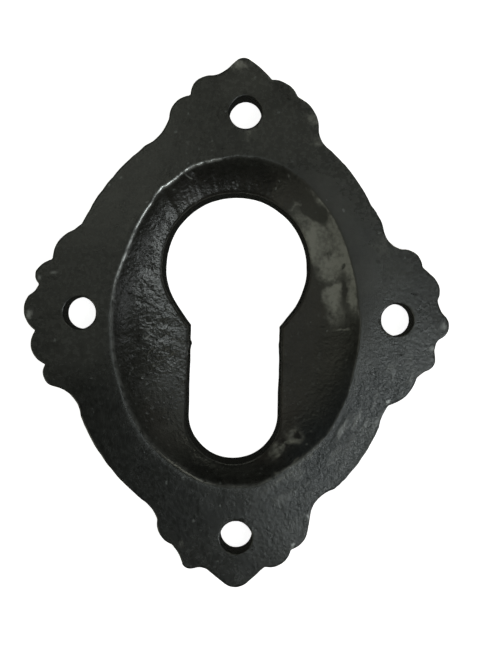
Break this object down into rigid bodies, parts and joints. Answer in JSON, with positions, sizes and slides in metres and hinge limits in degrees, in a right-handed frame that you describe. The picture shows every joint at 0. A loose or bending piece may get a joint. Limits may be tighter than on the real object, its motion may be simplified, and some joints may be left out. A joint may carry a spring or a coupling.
{
  "type": "keyhole escutcheon",
  "caption": "Scalloped lozenge escutcheon plate of cast iron, with an oval dish round a double-round cylinder keyhole and a screw hole in each corner.",
  "frame": {"origin": "on the flat back, midway between the centres of the top and bottom screw holes", "axes": "+Z out of the face, +Y towards the round head of the keyhole, +X to the right as the face is seen"},
  "size_m": [0.0531, 0.0661, 0.0055],
  "materials": {
    "blackened_iron": "blackened cast iron, satin, smooth and lightly scratched on the flat land, rough as cast in the dish"
  },
  "bodies": {
    "root": {"escutcheon_plate": "blackened_iron"}
  },
  "joints": []
}
